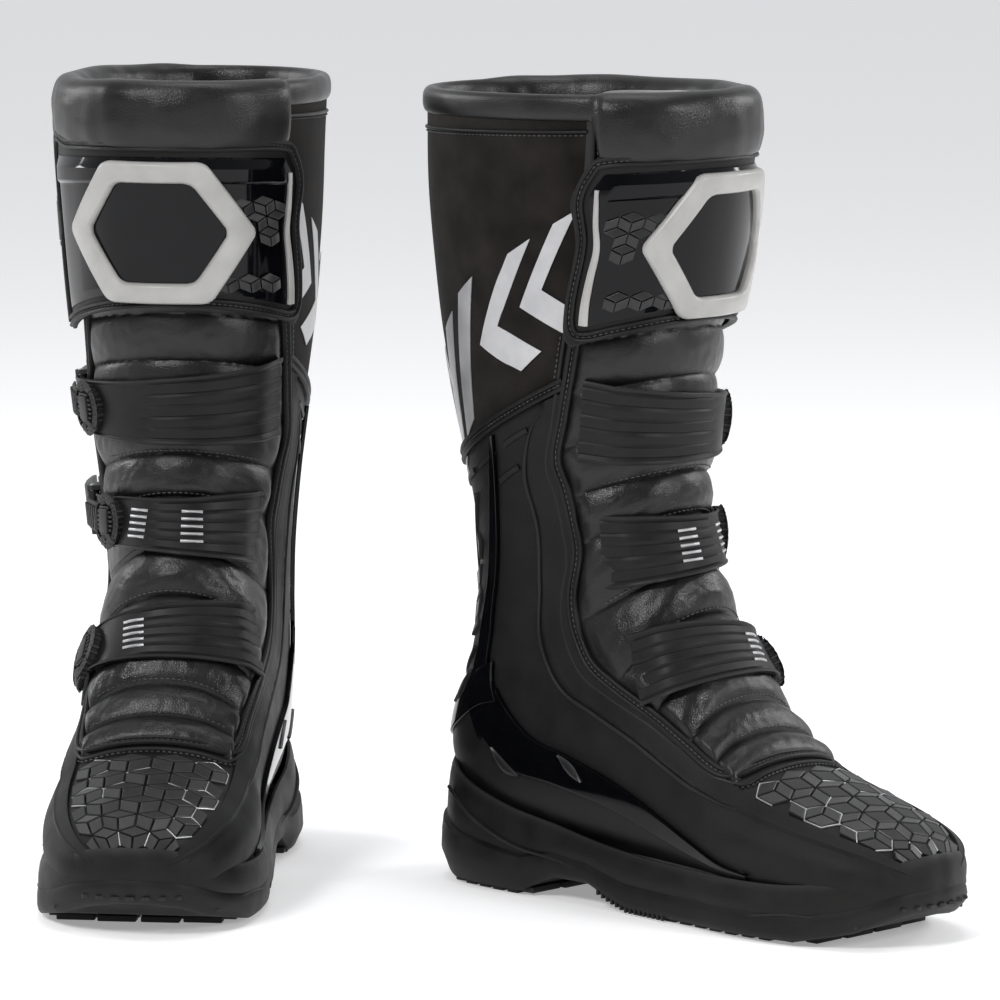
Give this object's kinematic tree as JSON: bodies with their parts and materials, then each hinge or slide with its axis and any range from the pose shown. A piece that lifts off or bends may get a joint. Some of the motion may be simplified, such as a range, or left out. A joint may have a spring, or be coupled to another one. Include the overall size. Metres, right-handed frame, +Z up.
{
  "type": "motocross boots",
  "caption": "Pair of tall buckled off-road riding boots with a hinged shin guard, swinging straps, over-centre levers and a cleated rubber cup sole.",
  "frame": {"origin": "centre of the pair's bounding box on the ground", "axes": "+Z up; the right boot stands at -X with its toe towards -Y; the left boot stands at +X, turned out so that its toe points between +X and -Y"},
  "size_m": [0.4614, 0.3616, 0.404],
  "materials": {
    "sole_rubber": "matte",
    "foam": "matte",
    "steel": "brushed",
    "lining_fabric": "woven",
    "moulded_shell": "satin",
    "microfibre": "matte",
    "gloss_shell": "gloss",
    "leather": "smooth",
    "suede": "napped",
    "grey_shell": "satin",
    "strap_rubber": "matte"
  },
  "bodies": {
    "right_boot": {"right_outsole": "sole_rubber", "right_midsole": "foam", "right_shank": "steel", "right_footbed": "foam", "right_lining": "lining_fabric", "right_toe_box": "moulded_shell", "right_medial_quarter": "microfibre", "right_lateral_quarter": "microfibre", "right_heel_counter": "moulded_shell", "right_ankle_frame": "gloss_shell", "right_back_stay": "leather", "right_bellows": "leather", "right_medial_calf_panel": "suede", "right_lateral_calf_panel": "microfibre", "right_collar": "leather", "right_lever_bases": "moulded_shell", "right_lever_pins": "steel"},
    "right_shin_guard": {"right_shin_frame": "moulded_shell", "right_shin_plate": "gloss_shell", "right_shin_badge": "grey_shell"},
    "right_upper_strap": {"right_upper_strap": "strap_rubber", "right_upper_adjuster": "moulded_shell"},
    "right_middle_strap": {"right_middle_strap": "strap_rubber", "right_middle_adjuster": "moulded_shell"},
    "right_lower_strap": {"right_lower_strap": "strap_rubber", "right_lower_adjuster": "moulded_shell"},
    "right_top_lever": {"right_top_lever": "moulded_shell"},
    "right_upper_lever": {"right_upper_lever": "moulded_shell"},
    "right_middle_lever": {"right_middle_lever": "moulded_shell"},
    "right_lower_lever": {"right_lower_lever": "moulded_shell"},
    "left_boot": {"left_outsole": "sole_rubber", "left_midsole": "foam", "left_shank": "steel", "left_footbed": "foam", "left_lining": "lining_fabric", "left_toe_box": "moulded_shell", "left_medial_quarter": "microfibre", "left_lateral_quarter": "microfibre", "left_heel_counter": "moulded_shell", "left_ankle_frame": "gloss_shell", "left_back_stay": "leather", "left_bellows": "leather", "left_medial_calf_panel": "suede", "left_lateral_calf_panel": "microfibre", "left_collar": "leather", "left_lever_bases": "moulded_shell", "left_lever_pins": "steel"},
    "left_shin_guard": {"left_shin_frame": "moulded_shell", "left_shin_plate": "gloss_shell", "left_shin_badge": "grey_shell"},
    "left_upper_strap": {"left_upper_strap": "strap_rubber", "left_upper_adjuster": "moulded_shell"},
    "left_middle_strap": {"left_middle_strap": "strap_rubber", "left_middle_adjuster": "moulded_shell"},
    "left_lower_strap": {"left_lower_strap": "strap_rubber", "left_lower_adjuster": "moulded_shell"},
    "left_top_lever": {"left_top_lever": "moulded_shell"},
    "left_upper_lever": {"left_upper_lever": "moulded_shell"},
    "left_middle_lever": {"left_middle_lever": "moulded_shell"},
    "left_lower_lever": {"left_lower_lever": "moulded_shell"}
  },
  "joints": [
    {"name": "left_boot_lift", "type": "slide", "parent": "right_boot", "child": "left_boot", "axis": [0, 0, 1], "range_m": [0, 0.45]},
    {"name": "right_shin_guard_hinge", "type": "hinge", "parent": "right_boot", "child": "right_shin_guard", "pos_m": [-0.10231, 0.04285, 0.32587], "axis": [0.0633, -0.0683, 0.9957], "range_deg": [0, 60]},
    {"name": "right_upper_strap_swing", "type": "hinge", "parent": "right_boot", "child": "right_upper_strap", "pos_m": [-0.10652, 0.04975, 0.24533], "axis": [0.0493, -0.1536, 0.9869], "range_deg": [0, 60]},
    {"name": "right_middle_strap_swing", "type": "hinge", "parent": "right_boot", "child": "right_middle_strap", "pos_m": [-0.11812, 0.04395, 0.17754], "axis": [0.0908, -0.0104, 0.9958], "range_deg": [0, 60]},
    {"name": "right_lower_strap_swing", "type": "hinge", "parent": "right_boot", "child": "right_lower_strap", "pos_m": [-0.11779, 0.02181, 0.11935], "axis": [-0.1263, 0.3726, 0.9193], "range_deg": [0, 60]},
    {"name": "right_top_lever_hinge", "type": "hinge", "parent": "right_boot", "child": "right_top_lever", "pos_m": [-0.22381, 0.08535, 0.33074], "axis": [-0.0689, 0.0345, 0.997], "range_deg": [0, 95]},
    {"name": "right_upper_lever_hinge", "type": "hinge", "parent": "right_boot", "child": "right_upper_lever", "pos_m": [-0.21498, 0.09485, 0.24014], "axis": [-0.1199, -0.0328, 0.9922], "range_deg": [0, 95]},
    {"name": "right_middle_lever_hinge", "type": "hinge", "parent": "right_boot", "child": "right_middle_lever", "pos_m": [-0.20878, 0.07773, 0.18207], "axis": [-0.0976, -0.0459, 0.9942], "range_deg": [0, 95]},
    {"name": "right_lower_lever_hinge", "type": "hinge", "parent": "right_boot", "child": "right_lower_lever", "pos_m": [-0.21095, 0.05546, 0.09549], "axis": [0.0975, 0.3087, 0.9461], "range_deg": [0, 95]},
    {"name": "left_shin_guard_hinge", "type": "hinge", "parent": "left_boot", "child": "left_shin_guard", "pos_m": [0.03289, -0.06672, 0.32587], "axis": [0.0046, 0.093, -0.9957], "range_deg": [0, 60]},
    {"name": "left_upper_strap_swing", "type": "hinge", "parent": "left_boot", "child": "left_upper_strap", "pos_m": [0.03168, -0.05873, 0.24533], "axis": [-0.0609, 0.1494, -0.9869], "range_deg": [0, 60]},
    {"name": "left_middle_strap_swing", "type": "hinge", "parent": "left_boot", "child": "left_middle_strap", "pos_m": [0.04429, -0.05571, 0.17754], "axis": [0.0628, 0.0663, -0.9958], "range_deg": [0, 60]},
    {"name": "left_lower_strap_swing", "type": "hinge", "parent": "left_boot", "child": "left_lower_strap", "pos_m": [0.05826, -0.07289, 0.11935], "axis": [0.1428, -0.3667, -0.9193], "range_deg": [0, 60]},
    {"name": "left_top_lever_hinge", "type": "hinge", "parent": "left_boot", "child": "left_top_lever", "pos_m": [0.09864, 0.04393, 0.33074], "axis": [-0.0306, -0.0707, -0.997], "range_deg": [0, 95]},
    {"name": "left_upper_lever_hinge", "type": "hinge", "parent": "left_boot", "child": "left_upper_lever", "pos_m": [0.08577, 0.04555, 0.24014], "axis": [-0.1129, -0.052, -0.9922], "range_deg": [0, 95]},
    {"name": "left_middle_lever_hinge", "type": "hinge", "parent": "left_boot", "child": "left_middle_lever", "pos_m": [0.09202, 0.02844, 0.18207], "axis": [-0.1043, -0.0275, -0.9942], "range_deg": [0, 95]},
    {"name": "left_lower_lever_hinge", "type": "hinge", "parent": "left_boot", "child": "left_lower_lever", "pos_m": [0.10801, 0.01278, 0.09549], "axis": [0.2731, -0.1739, -0.9461], "range_deg": [0, 95]}
  ]
}
